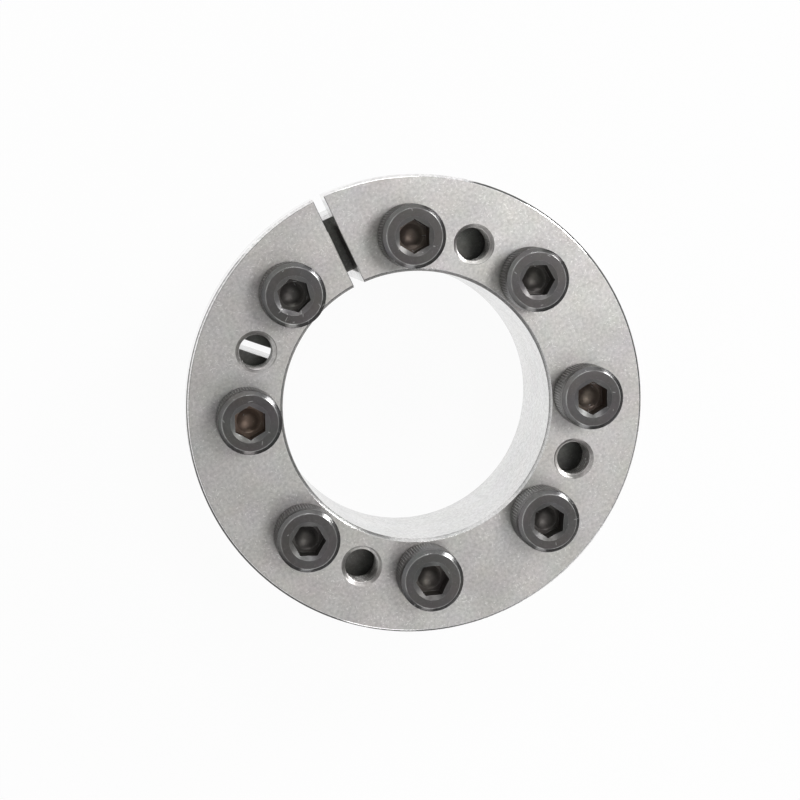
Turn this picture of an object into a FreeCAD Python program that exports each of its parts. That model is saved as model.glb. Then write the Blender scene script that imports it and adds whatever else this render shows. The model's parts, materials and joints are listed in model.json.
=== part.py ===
import FreeCAD, Part
import os
import Sketcher

# Keyless locking assembly for a plain shaft in a plain bored hub, in millimetres.
# The flanged inner ring has a straight bore and a tapered outside, the outer ring has a tapered
# bore and a straight outside, and both are slit. Screws through the flange draw the outer ring
# up the taper, which squeezes the shaft and spreads the hub.
# The axis is +Z with the screw heads up, and the origin is the middle of the rear face.

document = FreeCAD.newDocument("keyless_locking_assembly")

# Driving dimensions: name, value, what it is
SIZES = [
    ("bore_dia", 55.0, "shaft bore of the inner ring"),
    ("sleeve_wall", 2.43, "wall of the sleeve level with the outer ring's front face"),
    ("cone_angle", 3.0, "half angle of the taper, small enough to lock"),
    ("cone_clear", 0.07, "radial clearance between the cones before tightening"),
    ("inner_web", 0.75, "metal between the wide end of the cone and a screw"),
    ("outer_web", 3.75, "metal between a screw and the outside that grips the hub"),
    ("ring_width", 17.0, "length of the outer ring"),
    ("ring_gap", 2.0, "gap between outer ring and flange before tightening"),
    ("flange_lip", 4.5, "how far the flange stands out past the outer ring"),
    ("flange_thick", 7.0, "thickness of the flange"),
    ("bore_chamfer", 0.6, "chamfer of the shaft bore at the flange"),
    ("rear_chamfer", 0.4, "chamfers of the sleeve's thin end"),
    ("flange_chamfer", 0.5, "chamfers of the flange's rim"),
    ("ring_chamfer", 0.8, "outer chamfers of the outer ring"),
    ("inner_slit", 2.3, "width of the slit through the inner ring"),
    ("outer_slit", 2.2, "width of the slit through the outer ring"),
    ("outer_slit_turn", 45.0, "outer ring's slit, counted from the inner ring's slit"),
    ("bolt_turn", 22.5, "angle of the first screw from +X"),
    ("jack_turn", 45.0, "angle of the first jack hole from +X"),
    ("jack_drill", 6.8, "tapping size of the jack holes"),
    ("jack_sink", 0.9, "countersink round a jack hole"),
    ("screw_dia", 8.0, "thread diameter of the screws"),
    ("screw_length", 22.0, "length of a screw under its head"),
    ("head_dia", 13.0, "diameter of a screw head"),
    ("head_height", 8.0, "height of a screw head"),
    ("head_chamfer", 0.5, "chamfered top edge of a head"),
    ("key_flats", 6.0, "hexagon socket across its flats"),
    ("key_depth", 4.6, "depth of the hexagon socket"),
    ("hole_clear", 0.5, "radial clearance of a screw in the flange"),
    ("thread_clear", 0.05, "radial running clearance of a screw in the outer ring"),
]

# How far each screw's socket is turned, in degrees, in order round the flange
SOCKET_TURNS = [35.0, 4.0, 19.0, 6.0, 34.0, 39.0, 0.0, 5.0]

SCREW_COUNT = len(SOCKET_TURNS)
JACK_COUNT = 4
HEXAGON_SIDES = 6
FULL_TURN = 360.0
SINK_ANGLE = 90.0

# Heights above the rear face
RING_TOP = "sizes.ring_width"
FLANGE_BACK = "(sizes.ring_width + sizes.ring_gap)"
FLANGE_FRONT = f"({FLANGE_BACK} + sizes.flange_thick)"
# Radii from the shaft outwards, where the cones are level with the outer ring's front face
BORE = "sizes.bore_dia / 2"
SLEEVE = f"({BORE} + sizes.sleeve_wall)"
CONE = f"({SLEEVE} + sizes.cone_clear)"
BOLT_CIRCLE = f"({CONE} + sizes.inner_web + sizes.screw_dia / 2)"
OUTSIDE = f"({BOLT_CIRCLE} + sizes.screw_dia / 2 + sizes.outer_web)"
RIM = f"({OUTSIDE} + sizes.flange_lip)"
# What a cone's radius gains for each millimetre towards the flange
TAPER = "tan(sizes.cone_angle * 1 deg)"
# How far a cutting outline runs past the metal it cuts
OVERRUN = "1"


def fill_sheet():
    sheet = document.addObject("Spreadsheet::Sheet", "sizes")
    turns = [(f"screw_{n}_turn", turn, f"turn of screw {n}'s socket") for n, turn in enumerate(SOCKET_TURNS, 1)]
    for row, (alias, value, meaning) in enumerate(SIZES + turns, 1):
        sheet.set(f"A{row}", meaning)
        sheet.set(f"B{row}", str(value))
        sheet.setAlias(f"B{row}", alias)
    document.recompute()


def new_body(name):
    body = document.addObject("PartDesign::Body", name)
    body.Label = name
    return body


def origin_feature(body, role):
    for feature in body.Origin.OriginFeatures:
        if feature.Role == role:
            return feature
    raise RuntimeError(f"{body.Name} has no {role}")


def new_sketch(body, name, role, height="0", turn="0"):
    # height and turn move the sketch along and about the normal of its plane
    sketch = body.newObject("Sketcher::SketchObject", f"{body.Name}_{name}")
    sketch.AttachmentSupport = (origin_feature(body, role), [""])
    sketch.MapMode = "FlatFace"
    sketch.setExpression("AttachmentOffset.Base.z", height)
    sketch.setExpression("AttachmentOffset.Rotation.Angle", turn)
    document.recompute()
    return sketch


def bind(sketch, constraint, formula):
    index = sketch.addConstraint(constraint)
    sketch.setExpression(f"Constraints[{index}]", formula)


def bind_point(sketch, geometry, point, across, up):
    # Ties a point of the sketch to the formulas of its two coordinates
    start_across = float(sketch.evalExpression(across))
    start_up = float(sketch.evalExpression(up))
    bind(sketch, Sketcher.Constraint("DistanceX", -1, 1, geometry, point, start_across), across)
    bind(sketch, Sketcher.Constraint("DistanceY", -1, 1, geometry, point, start_up), up)


def draw_outline(sketch, corners):
    # Draws a closed outline whose corners are pairs of formulas
    points = []
    for across, up in corners:
        points.append(FreeCAD.Vector(float(sketch.evalExpression(across)), float(sketch.evalExpression(up)), 0))
    for start, end in zip(points, points[1:] + points[:1]):
        sketch.addGeometry(Part.LineSegment(start, end))
    for index in range(len(points)):
        sketch.addConstraint(Sketcher.Constraint("Coincident", index, 2, (index + 1) % len(points), 1))
    for index, (across, up) in enumerate(corners):
        bind_point(sketch, index, 1, across, up)


def draw_circle(sketch, across, up, diameter):
    centre = FreeCAD.Vector(float(sketch.evalExpression(across)), float(sketch.evalExpression(up)), 0)
    start = float(sketch.evalExpression(diameter))
    circle = sketch.addGeometry(Part.Circle(centre, FreeCAD.Vector(0, 0, 1), start / 2))
    bind_point(sketch, circle, 3, across, up)
    bind(sketch, Sketcher.Constraint("Diameter", circle, start), diameter)


def add_feature(body, kind, name, sketch):
    feature = body.newObject(kind, f"{body.Name}_{name}")
    feature.Profile = sketch
    return feature


def check_cut(body, feature, before):
    # A cut that points away from the metal removes nothing and reports no error
    document.recompute()
    if body.Shape.Volume >= before:
        raise RuntimeError(f"{feature.Name} cuts nothing")


def revolve(body, name, corners):
    sketch = new_sketch(body, f"{name}_outline", "XZ_Plane")
    draw_outline(sketch, corners)
    feature = add_feature(body, "PartDesign::Revolution", name, sketch)
    feature.ReferenceAxis = (sketch, ["V_Axis"])
    feature.Angle = FULL_TURN
    document.recompute()


def slit(body, width, outside, turn="0"):
    # Cuts one wall of a ring from its bore outwards, along +Y before it is turned
    before = body.Shape.Volume
    sketch = new_sketch(body, "slit_outline", "XY_Plane", turn=turn)
    far = f"({outside} + {OVERRUN})"
    sides = [f"-{width} / 2", f"{width} / 2"]
    draw_outline(sketch, [(sides[0], "0"), (sides[1], "0"), (sides[1], far), (sides[0], far)])
    feature = add_feature(body, "PartDesign::Pocket", "slit", sketch)
    feature.Type = "ThroughAll"
    feature.Reversed = True
    check_cut(body, feature, before)


def hole_ring(body, name, height, turn, diameter, count, sink=None):
    # Drills a ring of through holes downwards from a face, countersunk where a sink is given
    before = body.Shape.Volume
    sketch = new_sketch(body, f"{name}_places", "XY_Plane", height, turn)
    draw_circle(sketch, BOLT_CIRCLE, "0", diameter)
    hole = add_feature(body, "PartDesign::Hole", name, sketch)
    hole.DepthType = "ThroughAll"
    hole.setExpression("Diameter", diameter)
    if sink:
        hole.HoleCutType = "Countersink"
        hole.setExpression("HoleCutDiameter", f"{diameter} + 2 * {sink}")
        hole.HoleCutCountersinkAngle = SINK_ANGLE
    check_cut(body, hole, before)
    pattern = body.newObject("PartDesign::PolarPattern", f"{body.Name}_{name}_ring")
    pattern.Originals = [hole]
    pattern.Axis = (origin_feature(body, "Z_Axis"), [""])
    pattern.Angle = FULL_TURN
    pattern.Occurrences = count
    body.Tip = pattern
    document.recompute()


def make_inner_ring():
    # Flange and tapered sleeve turned in one piece, then slit from the bore outwards
    body = new_body("inner_ring")
    sleeve_rear = f"({SLEEVE} - sizes.ring_width * {TAPER})"
    revolve(body, "blank", [
        (f"({BORE} + sizes.rear_chamfer)", "0"),
        (f"({sleeve_rear} - sizes.rear_chamfer)", "0"),
        (f"({sleeve_rear} + sizes.rear_chamfer * {TAPER})", "sizes.rear_chamfer"),
        (f"({SLEEVE} + sizes.ring_gap * {TAPER})", FLANGE_BACK),
        (f"({RIM} - sizes.flange_chamfer)", FLANGE_BACK),
        (RIM, f"({FLANGE_BACK} + sizes.flange_chamfer)"),
        (RIM, f"({FLANGE_FRONT} - sizes.flange_chamfer)"),
        (f"({RIM} - sizes.flange_chamfer)", FLANGE_FRONT),
        (f"({BORE} + sizes.bore_chamfer)", FLANGE_FRONT),
        (BORE, f"({FLANGE_FRONT} - sizes.bore_chamfer)"),
        (BORE, "sizes.rear_chamfer"),
    ])
    clearance = "(sizes.screw_dia + 2 * sizes.hole_clear)"
    hole_ring(body, "screw_holes", FLANGE_FRONT, "sizes.bolt_turn", clearance, SCREW_COUNT)
    hole_ring(body, "jack_holes", FLANGE_FRONT, "sizes.jack_turn", "sizes.jack_drill", JACK_COUNT,
              "sizes.jack_sink")
    slit(body, "sizes.inner_slit", RIM)
    return body


def make_outer_ring():
    # Straight outside for the hub, tapered bore for the sleeve, tapped for the screws
    body = new_body("outer_ring")
    revolve(body, "blank", [
        (f"({CONE} - sizes.ring_width * {TAPER})", "0"),
        (f"({OUTSIDE} - sizes.ring_chamfer)", "0"),
        (OUTSIDE, "sizes.ring_chamfer"),
        (OUTSIDE, f"({RING_TOP} - sizes.ring_chamfer)"),
        (f"({OUTSIDE} - sizes.ring_chamfer)", RING_TOP),
        (CONE, RING_TOP),
    ])
    thread = "(sizes.screw_dia + 2 * sizes.thread_clear)"
    hole_ring(body, "thread_holes", RING_TOP, "sizes.bolt_turn", thread, SCREW_COUNT)
    slit(body, "sizes.outer_slit", OUTSIDE, "sizes.outer_slit_turn")
    return body


def make_screw(number):
    # Socket head screw standing on its tip, then placed with its head on the flange
    body = new_body(f"clamp_screw_{number}")
    shank = "sizes.screw_dia / 2"
    head = "sizes.head_dia / 2"
    head_top = "(sizes.screw_length + sizes.head_height)"
    revolve(body, "blank", [
        ("0", "0"),
        (shank, "0"),
        (shank, "sizes.screw_length"),
        (head, "sizes.screw_length"),
        (head, f"({head_top} - sizes.head_chamfer)"),
        (f"({head} - sizes.head_chamfer)", head_top),
        ("0", head_top),
    ])
    before = body.Shape.Volume
    outline = new_sketch(body, "socket_outline", "XY_Plane", head_top)
    corner = "sizes.key_flats / (2 * cos(30 deg))"
    turns = [FULL_TURN * side / HEXAGON_SIDES for side in range(HEXAGON_SIDES)]
    draw_outline(outline, [(f"{corner} * cos({turn} deg)", f"{corner} * sin({turn} deg)") for turn in turns])
    socket = add_feature(body, "PartDesign::Pocket", "socket", outline)
    socket.setExpression("Length", "sizes.key_depth")
    check_cut(body, socket, before)
    place = f"sizes.bolt_turn * 1 deg + {number - 1} * {FULL_TURN / SCREW_COUNT} deg"
    body.setExpression("Placement.Base.x", f"{BOLT_CIRCLE} * cos({place})")
    body.setExpression("Placement.Base.y", f"{BOLT_CIRCLE} * sin({place})")
    body.setExpression("Placement.Base.z", f"{FLANGE_FRONT} - sizes.screw_length")
    body.setExpression("Placement.Rotation.Angle", f"sizes.screw_{number}_turn")
    document.recompute()
    return body


def check_document(bodies):
    for item in document.Objects:
        if "Invalid" in item.State or "Error" in item.State:
            raise RuntimeError(f"{item.Name} failed: {item.State}")
    for body in bodies:
        if body.Shape.isNull() or not body.Shape.isValid() or len(body.Shape.Solids) != 1:
            raise RuntimeError(f"{body.Label} is not one valid solid")


def main():
    fill_sheet()
    bodies = [make_inner_ring(), make_outer_ring()]
    for number in range(1, SCREW_COUNT + 1):
        bodies.append(make_screw(number))
    document.recompute()
    check_document(bodies)
    os.makedirs("parts", exist_ok=True)
    for body in bodies:
        body.Shape.exportStep(f"parts/{body.Label}.step")


main()
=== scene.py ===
import json
import math

import bpy
from mathutils import Matrix, Vector


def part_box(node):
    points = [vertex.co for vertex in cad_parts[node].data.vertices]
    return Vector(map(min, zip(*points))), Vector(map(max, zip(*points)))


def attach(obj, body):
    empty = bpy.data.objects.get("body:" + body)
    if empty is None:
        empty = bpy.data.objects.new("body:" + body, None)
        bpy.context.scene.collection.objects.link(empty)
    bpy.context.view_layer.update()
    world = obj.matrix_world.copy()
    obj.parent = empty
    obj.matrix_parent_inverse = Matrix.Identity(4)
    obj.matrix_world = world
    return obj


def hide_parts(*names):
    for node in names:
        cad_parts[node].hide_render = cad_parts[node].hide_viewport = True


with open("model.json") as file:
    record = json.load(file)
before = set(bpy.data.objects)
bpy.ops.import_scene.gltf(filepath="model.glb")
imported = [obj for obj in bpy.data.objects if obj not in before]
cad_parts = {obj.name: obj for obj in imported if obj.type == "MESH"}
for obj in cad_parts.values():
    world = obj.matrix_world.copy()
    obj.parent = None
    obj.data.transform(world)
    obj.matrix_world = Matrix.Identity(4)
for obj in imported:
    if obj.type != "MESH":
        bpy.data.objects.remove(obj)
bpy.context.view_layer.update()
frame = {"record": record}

# Keyless locking assembly: a slit flanged ring with a tapered sleeve, a slit tapered outer ring,
# and socket screws that draw the two together. The axis is +Z, and the origin is the rear face.

bl_info = {
    "name": "Keyless locking assembly",
    "version": (1, 0, 0),
    "blender": (4, 5, 0),
    "location": "View3D > Sidebar > Locking assembly",
    "description": "Builds a keyless locking assembly with its slit rings, threads and clamping screws",
    "category": "Add Mesh",
}

MM = 0.001

# What the frame gives: the boxes of its nodes and the dimensions of its mounts
MOUNTS = {mount["name"]: mount for mount in frame["record"]["mounts"]}
BORE_RADIUS = MOUNTS["shaft_bore"]["dims"]["r_mm"] * MM
HUB_RADIUS = MOUNTS["hub_seat"]["dims"]["r_mm"] * MM
BOLT_RADIUS = MOUNTS["jack_holes"]["dims"]["pcd_mm"] / 2 * MM
JACK_RADIUS = MOUNTS["jack_holes"]["dims"]["hole_r_mm"] * MM
FLANGE_BACK = MOUNTS["hub_stop"]["pos_m"][2]
RIM_RADIUS = -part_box("inner_ring")[0].y
FLANGE_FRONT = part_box("inner_ring")[1].z
RING_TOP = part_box("outer_ring")[1].z
SCREW_LOW, SCREW_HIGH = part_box("clamp_screw_1")
HEAD_RADIUS = (SCREW_HIGH.x - SCREW_LOW.x) / 2
HEAD_HEIGHT = SCREW_HIGH.z - FLANGE_FRONT
SHANK_LENGTH = FLANGE_FRONT - SCREW_LOW.z

# Where things stand round the axis, in degrees from +X
SCREW_TURNS = [22.5, 67.5, 112.5, 157.5, 202.5, 247.5, 292.5, 337.5]
JACK_TURNS = [45.0, 135.0, 225.0, 315.0]
SOCKET_TURNS = [35.0, 4.0, 19.0, 6.0, 34.0, 39.0, 0.0, 5.0]
# How much old oil browns each screw's socket
SOCKET_OIL = [0.15, 0.6, 0.1, 1.0, 0.1, 0.2, 0.15, 0.7]
INNER_SLIT_TURN = 90.0
OUTER_SLIT_TURN = 135.0

RING_SEGMENTS = 720
HOLE_SEGMENTS = 96
ROUND_STEPS = 6
CHATTER_RINGS = 4
HEXAGON_SIDES = 6
# Points round a head for each ridge of its knurl
RIDGE_STEPS = 6
SHARP_ANGLE = math.radians(26)
# How far a cutter runs past the metal it cuts
OVERRUN = 1.0 * MM
# How far the plain band of a head stands inside its knurl
HEAD_RELIEF = 0.1 * MM
# Where the knurl begins above a head's seat, and where it ends at the plain band: height, distance
# inside the crests, and share of the knurl's depth
KNURL_START = [(0.35 * MM, 0.06 * MM, 0.3), (0.6 * MM, 0.0, 1.0)]
KNURL_END = [(-0.35 * MM, 0.0, 1.0), (-0.12 * MM, 0.03 * MM, 0.5), (0.0, HEAD_RELIEF, 0.0)]
# Slope of a thread's flanks, and of a drill point or a socket's countersink
FLANK_SLOPE = math.tan(math.radians(30))
DRILL_SLOPE = math.tan(math.radians(30))

# Where finishes and painted shade meet: in from the rim, down from a ring's face, either side of the bolt
# circle, down from a head's top, and out from a screw's axis
RIM_POLISH = 1.4 * MM
FACE_SHADE = 0.4 * MM
FACE_DEPTH = 1.0 * MM
HOLE_ZONE = 5.0 * MM
HEAD_TOP = 1.4 * MM
SOCKET_ZONE = 3.5 * MM
# Width over which one finish fades into the next
BLEND = 0.2 * MM

# Lamps: name, degrees anticlockwise from the right of the photograph, height in degrees, power
LAMPS = [("key", 40.0, 20.0, 4.73), ("window", 90.0, 35.0, 3.0), ("overhead", 30.0, 65.0, 1.68),
         ("fill", -60.0, 65.0, 0.47), ("near_strip", -90.0, 9.0, 0.52)]
# Every lamp's distance from the flange, and its width
LAMP_REACH = 1.0
LAMP_WIDTH = 0.3
# How bright the studio is at heights in degrees above the horizon
STUDIO_LEVELS = [(0.0, 0.09), (10.5, 0.11), (14.5, 0.88), (27.0, 0.92), (29.0, 1.0), (43.0, 1.0),
                 (47.0, 0.0), (63.0, 0.0), (67.0, 0.5)]
# Steps of the curve from the floor up to the backdrop, and how far the floor lies under the device
SWEEP_STEPS = 12
FLOOR_DROP = 0.05 * MM


def length(name, description, millimetres):
    return bpy.props.FloatProperty(name=name, description=description, default=millimetres * MM,
                                   subtype="DISTANCE", unit="LENGTH")


def colour(name, description, value):
    return bpy.props.FloatVectorProperty(name=name, description=description, default=value, size=3,
                                         min=0.0, max=1.0, subtype="COLOR")


def degrees(name, description, value):
    return bpy.props.FloatProperty(name=name, description=description, default=math.radians(value),
                                   subtype="ANGLE", unit="ROTATION")


def share(name, description, value):
    return bpy.props.FloatProperty(name=name, description=description, default=value, min=0.0, max=1.0,
                                   subtype="FACTOR")


class RingSizes(bpy.types.PropertyGroup):
    """Sizes of the two slit rings that the frame doesn't state"""
    taper: degrees("Taper", "Half angle of the cones", 3.0)
    cone_radius: length("Cone radius", "Wide end of the outer ring's tapered bore", 30.0)
    cone_clearance: length("Cone clearance", "Radial gap between the cones before tightening", 0.07)
    bore_chamfer: length("Bore chamfer", "Chamfer of the shaft bore at the flange", 0.6)
    rear_chamfer: length("Rear chamfer", "Chamfers of the sleeve's thin end", 0.4)
    ring_chamfer: length("Ring chamfer", "Chamfers of the outer ring's outside", 0.8)
    mouth_chamfer: length("Mouth chamfer", "Chamfers of the outer ring's tapered bore", 0.25)
    edge_round: length("Edge round", "Radius that handling and deburring leave on an edge", 0.1)
    rim_chamfer: length("Rim chamfer", "Width of the chamfers of the flange's rim", 0.52)
    rim_slope: degrees("Rim slope", "Slope of those chamfers", 40.0)
    rim_round: length("Rim round", "Radius that polishing leaves where a chamfer meets the rim", 0.25)
    face_round: length("Face round", "Radius that polishing leaves where a chamfer meets a face", 0.4)
    root_round: length("Root round", "Fillet where the sleeve meets the flange", 0.4)
    inner_slit: length("Inner slit", "Width of the slit through the flanged ring", 2.3)
    outer_slit: length("Outer slit", "Width of the slit through the outer ring", 2.2)
    slit_break: length("Slit break", "Broken edge along a slit's mouth", 0.12)
    jack_sink: length("Jack hole countersink", "Countersink round a jack hole at the front", 0.78)
    sink_chatter: length("Countersink chatter", "Depth of the rings that the tool leaves in it", 0.06)
    thread_sink: length("Thread countersink", "Countersink round the other ends of the threads", 0.45)
    screw_hole: length("Screw hole", "Radius of a screw's hole in the flange", 4.5)


class ScrewSizes(bpy.types.PropertyGroup):
    """Sizes of the clamping screws and of the threads that take them"""
    pitch: length("Pitch", "Pitch of the threads", 1.25)
    major: length("Major radius", "Radius over a screw's thread crests", 3.97)
    effective: length("Pitch radius", "Radius where a screw's thread is as wide as its gap", 3.57)
    minor: length("Minor radius", "Radius of a screw's thread at its root", 3.24)
    nut_clearance: length("Thread clearance", "How much wider an inside thread is, on the radius", 0.05)
    tip_chamfer: length("Tip chamfer", "Chamfer at a screw's tip", 0.9)
    crown: length("Crown", "Bevel round the top of a head", 0.78)
    crown_slope: degrees("Crown slope", "Slope of that bevel", 39.0)
    crown_round: length("Crown round", "Radius where that bevel meets the head's side", 0.15)
    top_round: length("Top round", "Radius where that bevel meets the head's top", 0.1)
    foot_bevel: length("Foot bevel", "Bevel round the seat of a head", 0.35)
    plain_band: length("Plain band", "Height of the head above its knurl", 1.9)
    knurl_depth: length("Knurl depth", "Depth of the straight knurl round a head", 0.17)
    knurl_count: bpy.props.IntProperty(name="Knurl ridges", description="Ridges round a head", default=72)
    key_flats: length("Key size", "Hexagon socket across its flats", 6.0)
    key_depth: length("Key depth", "Depth of the hexagon socket", 4.6)
    key_sink: length("Socket countersink", "Radius of the countersink at the socket's mouth", 3.95)
    key_drill: length("Drill point", "Radius of the drill point under the socket", 2.45)


class Finish(bpy.types.PropertyGroup):
    """Colours and gloss of the metals"""
    ground_steel: colour("Ground steel", "Flanged ring, ground and handled", (0.555, 0.54, 0.525))
    # The outer ring's steel is darker than the flange's: partly its own tone, partly painted shade of the gap
    # under the flange
    turned_steel: colour("Turned steel", "Outer ring", (0.33, 0.325, 0.315))
    polished_rim: colour("Polished rim", "Rounded edges and outside of the flange", (0.86, 0.855, 0.85))
    # Painted shade: a dark colour for the threads and walls of the bolt circle's holes and the flange's back
    # round them
    hole_shade: colour("Hole wall", "Threads and walls of the bolt circle's holes", (0.2, 0.195, 0.185))
    bright_wall: colour("Bright wall", "Finely turned and cut walls", (0.7, 0.698, 0.693))
    scratch: colour("Scratch", "Bright metal in fresh scratches", (0.86, 0.85, 0.83))
    oxide: colour("Black oxide", "Oxide skin of the screws", (0.097, 0.092, 0.091))
    oxide_worn: colour("Worn oxide", "Steel where the oxide has worn through", (0.4, 0.4, 0.395))
    oxide_bevel: colour("Bevelled oxide", "Thin oxide on a head's turned bevel", (0.145, 0.143, 0.142))
    socket_oxide: colour("Socket oxide", "Darker oxide in the sockets", (0.088, 0.086, 0.084))
    old_oil: colour("Old oil", "Brown oil in the sockets", (0.15, 0.112, 0.088))
    # Outer ring's front face: partly its own darker tone, partly painted shade of the gap under the flange
    face_tone_and_shade: colour("Oily face", "Outer ring's front face, which oil and dirt darken", (0.13, 0.13, 0.122))
    steel_roughness: share("Steel roughness", "Roughness of the ground steel", 0.42)
    wall_roughness: share("Wall roughness", "Roughness of the finely turned walls", 0.2)
    rim_roughness: share("Rim roughness", "Roughness of the polished rim", 0.1)
    oxide_roughness: share("Oxide roughness", "Roughness of the oxide skin", 0.4)


class StageLook(bpy.types.PropertyGroup):
    """Floor, lights and camera"""
    floor: colour("Floor", "Colour of the floor", (0.82, 0.82, 0.82))
    floor_near: length("Near floor", "Floor from the object to its near and right edges", 220.0)
    floor_left: length("Left floor", "Floor from the object to its left edge", 600.0)
    floor_far: length("Far floor", "Floor from the object to where the backdrop curves up", 350.0)
    sweep_round: length("Sweep", "Radius of the curve from floor to backdrop", 200.0)
    sweep_height: length("Backdrop height", "Height of the backdrop's top edge", 450.0)
    backdrop: share("Backdrop", "How much of the floor that the camera sees is plain white", 0.95)
    focal: length("Focal length", "Focal length of the lens", 87.03)
    sensor: length("Sensor", "Width of the sensor", 36.0)
    distance: length("Distance", "From the lens to the middle of the flange's face, along the view", 394.05)
    shift_right: length("Right", "How far right of the view's middle the flange sits", 3.612)
    shift_up: length("Up", "How far above the view's middle the flange sits", -1.244)
    tilt: degrees("Tilt", "Turn of the view about its own X", 6.589)
    swing: degrees("Swing", "Turn of the view about its own Y", 8.646)
    roll: degrees("Roll", "Turn of the object about its axis in the view", 25.601)


# Meshes

def arc_points(corner, before, after, radius):
    """Points of the arc that rounds a corner between its neighbours"""
    here = Vector(corner)
    back = (Vector(before) - here).normalized()
    ahead = (Vector(after) - here).normalized()
    half = back.angle(ahead) / 2
    reach = radius / math.tan(half)
    centre = here + (back + ahead).normalized() * (radius / math.sin(half))
    start = here + back * reach - centre
    end = here + ahead * reach - centre
    sweep = start.angle_signed(end)
    points = []
    for step in range(ROUND_STEPS + 1):
        turn = Matrix.Rotation(-sweep * step / ROUND_STEPS, 2)
        points.append(tuple(centre + turn @ start))
    return points


def rounded(corners):
    """Outline whose corners (across, up, radius) are rounded, as pairs of across and up"""
    points = []
    for index, (across, up, radius) in enumerate(corners):
        if radius > 0:
            before = corners[index - 1][:2]
            after = corners[(index + 1) % len(corners)][:2]
            points += arc_points((across, up), before, after, radius)
        else:
            points.append((across, up))
    return points


def new_piece(name, points, faces):
    mesh = bpy.data.meshes.new(name)
    mesh.from_pydata([tuple(point) for point in points], [], faces)
    mesh.validate()
    piece = bpy.data.objects.new(name, mesh)
    bpy.context.scene.collection.objects.link(piece)
    return piece


def turned_ring(name, outline, segments=RING_SEGMENTS):
    """Closed outline (radius, height), anticlockwise, turned about the axis"""
    count = len(outline)
    points = []
    for step in range(segments):
        angle = 2 * math.pi * step / segments
        points += [(radius * math.cos(angle), radius * math.sin(angle), up) for radius, up in outline]
    faces = []
    for step in range(segments):
        this, other = step * count, (step + 1) % segments * count
        for index in range(count):
            following = (index + 1) % count
            faces.append((this + index, other + index, other + following, this + following))
    return new_piece(name, points, faces)


def turned_rod(name, outline, segments=HOLE_SEGMENTS, wave=None):
    """Open outline (radius, height, ...) from the axis at the bottom to the axis at the top, turned.
    wave(angle, point) gives the radius where it changes round the rod."""
    inner = outline[1:-1]
    count = len(inner)
    points = [(0, 0, outline[0][1]), (0, 0, outline[-1][1])]
    for step in range(segments):
        angle = 2 * math.pi * step / segments
        for point in inner:
            radius = wave(angle, point) if wave else point[0]
            points.append((radius * math.cos(angle), radius * math.sin(angle), point[1]))
    faces = []
    for step in range(segments):
        this, other = 2 + step * count, 2 + (step + 1) % segments * count
        faces.append((0, other, this))
        faces.append((1, this + count - 1, other + count - 1))
        for index in range(count - 1):
            faces.append((this + index, other + index, other + index + 1, this + index + 1))
    return new_piece(name, points, faces)


def threaded_rod(name, pitch, radii, low, high, segments=HOLE_SEGMENTS):
    """Right-hand thread of 60 degrees. radii are the root's, the pitch circle's and the crest's."""
    root, effective, crest = radii
    root_half = pitch / 4 - (effective - root) * FLANK_SLOPE
    crest_half = pitch / 4 - (crest - effective) * FLANK_SLOPE
    turn = [(root_half, root), (pitch / 2 - crest_half, crest), (pitch / 2 + crest_half, crest),
            (pitch - root_half, root)]
    per_turn = len(turn)
    turns = math.ceil((high - low) / pitch) + 1
    column = [(low + pitch * (lap - 1) + up, radius) for lap in range(turns) for up, radius in turn]
    count = len(column)
    points = []
    for step in range(segments):
        angle = 2 * math.pi * step / segments
        rise = pitch * step / segments
        points += [(radius * math.cos(angle), radius * math.sin(angle), up + rise) for up, radius in column]
    faces = []
    for step in range(segments - 1):
        this, other = step * count, (step + 1) * count
        for index in range(count - 1):
            faces.append((this + index, other + index, other + index + 1, this + index + 1))
    # The last station meets the first one turn higher
    last = (segments - 1) * count
    for index in range(count - 1 - per_turn):
        start = index + per_turn
        faces.append((last + index, start, start + 1, last + index + 1))
    bottom_loop = [step * count for step in range(segments)] + list(range(per_turn, 0, -1))
    top_loop = [step * count + count - 1 for step in range(segments)]
    top_loop += [last + count - 1 - index for index in range(1, per_turn + 1)]
    points.append((0, 0, low - 2 * pitch))
    points.append((0, 0, column[-1][0] + 2 * pitch))
    bottom, top = len(points) - 2, len(points) - 1
    for start, end in zip(bottom_loop, bottom_loop[1:] + bottom_loop[:1]):
        faces.append((bottom, end, start))
    for start, end in zip(top_loop, top_loop[1:] + top_loop[:1]):
        faces.append((top, start, end))
    return new_piece(name, points, faces)


def prism(name, outline, low, high, axis="Z"):
    """Outline (across, up), anticlockwise, drawn out from low to high along an axis"""
    count = len(outline)
    points = []
    for level in (low, high):
        for across, up in outline:
            points.append((across, up, level) if axis == "Z" else (across, level, up))
    bottom = tuple(reversed(range(count)))
    top = tuple(range(count, 2 * count))
    sides = [(index, (index + 1) % count, (index + 1) % count + count, index + count)
             for index in range(count)]
    faces = [bottom, top] + sides
    if axis != "Z":
        faces = [tuple(reversed(face)) for face in faces]
    return new_piece(name, points, faces)


def place(piece, turn, radius=0.0, height=0.0, spin=0.0):
    """Moves a mesh's points out to a radius at an angle from +X, turned about its own axis first"""
    angle = math.radians(turn)
    spot = Matrix.Translation((radius * math.cos(angle), radius * math.sin(angle), height))
    piece.data.transform(spot @ Matrix.Rotation(math.radians(spin), 4, "Z"))
    return piece


def carve(piece, tool, operation="DIFFERENCE"):
    """Cuts a tool out of a piece, or joins or keeps what they share, and deletes the tool"""
    modifier = piece.modifiers.new("carve", "BOOLEAN")
    modifier.operation = operation
    modifier.solver = "MANIFOLD"
    modifier.object = tool
    graph = bpy.context.evaluated_depsgraph_get()
    result = bpy.data.meshes.new_from_object(piece.evaluated_get(graph))
    if not result.polygons:
        raise RuntimeError(f"{tool.name} leaves nothing of {piece.name}")
    piece.modifiers.remove(modifier)
    old = piece.data
    piece.data = result
    result.name = piece.name
    bpy.data.meshes.remove(old)
    bpy.data.objects.remove(tool)


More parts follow.
